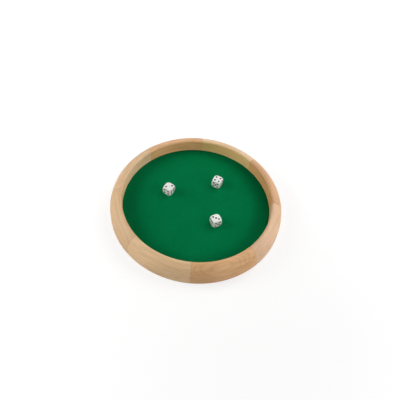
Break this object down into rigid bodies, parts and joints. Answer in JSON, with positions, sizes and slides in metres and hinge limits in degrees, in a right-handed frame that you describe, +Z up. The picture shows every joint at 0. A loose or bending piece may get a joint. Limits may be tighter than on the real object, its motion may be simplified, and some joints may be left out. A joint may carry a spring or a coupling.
{
  "type": "dice tray",
  "caption": "Round dice tray: a turned ring of mitred beech segments round a green felt playing surface on a screwed plywood base, with loose white dice lying in the well.",
  "frame": {"origin": "on the table under the middle of the ring, at the middle of the bottom of the whole object", "axes": "+Z up, square to the felt; +X to the right and -Y towards the viewer as in the picture, with the first glue joint 1 degree anticlockwise of +X"},
  "size_m": [0.3, 0.3, 0.0355],
  "materials": {
    "beech": "fine-sanded beech under a thin satin lacquer",
    "dowel": "raw fluted-stock beech dowel",
    "plywood": "sanded birch plywood",
    "screw_steel": "zinc-plated, dull bright",
    "felt": "matt pressed wool felt with a short nap",
    "die_plastic": "polished",
    "pip_paint": "semi-gloss enamel"
  },
  "bodies": {
    "tray": {"rim_segment_1": "beech", "rim_segment_2": "beech", "rim_segment_3": "beech", "rim_segment_4": "beech", "rim_segment_5": "beech", "rim_segment_6": "beech", "rim_segment_7": "beech", "rim_segment_8": "beech", "joint_dowels": "dowel", "base_panel": "plywood", "base_screws": "screw_steel", "playing_felt": "felt"},
    "left_die": {"left_die": "die_plastic", "left_die_pips": "pip_paint"},
    "back_die": {"back_die": "die_plastic", "back_die_pips": "pip_paint"},
    "front_die": {"front_die": "die_plastic", "front_die_pips": "pip_paint"}
  },
  "joints": [
    {"name": "left_die_lift", "type": "slide", "parent": "tray", "child": "left_die", "axis": [0, 0, 1], "range_m": [0, 0.06]},
    {"name": "back_die_lift", "type": "slide", "parent": "tray", "child": "back_die", "axis": [0, 0, 1], "range_m": [0, 0.06]},
    {"name": "front_die_lift", "type": "slide", "parent": "tray", "child": "front_die", "axis": [0, 0, 1], "range_m": [0, 0.06]}
  ]
}
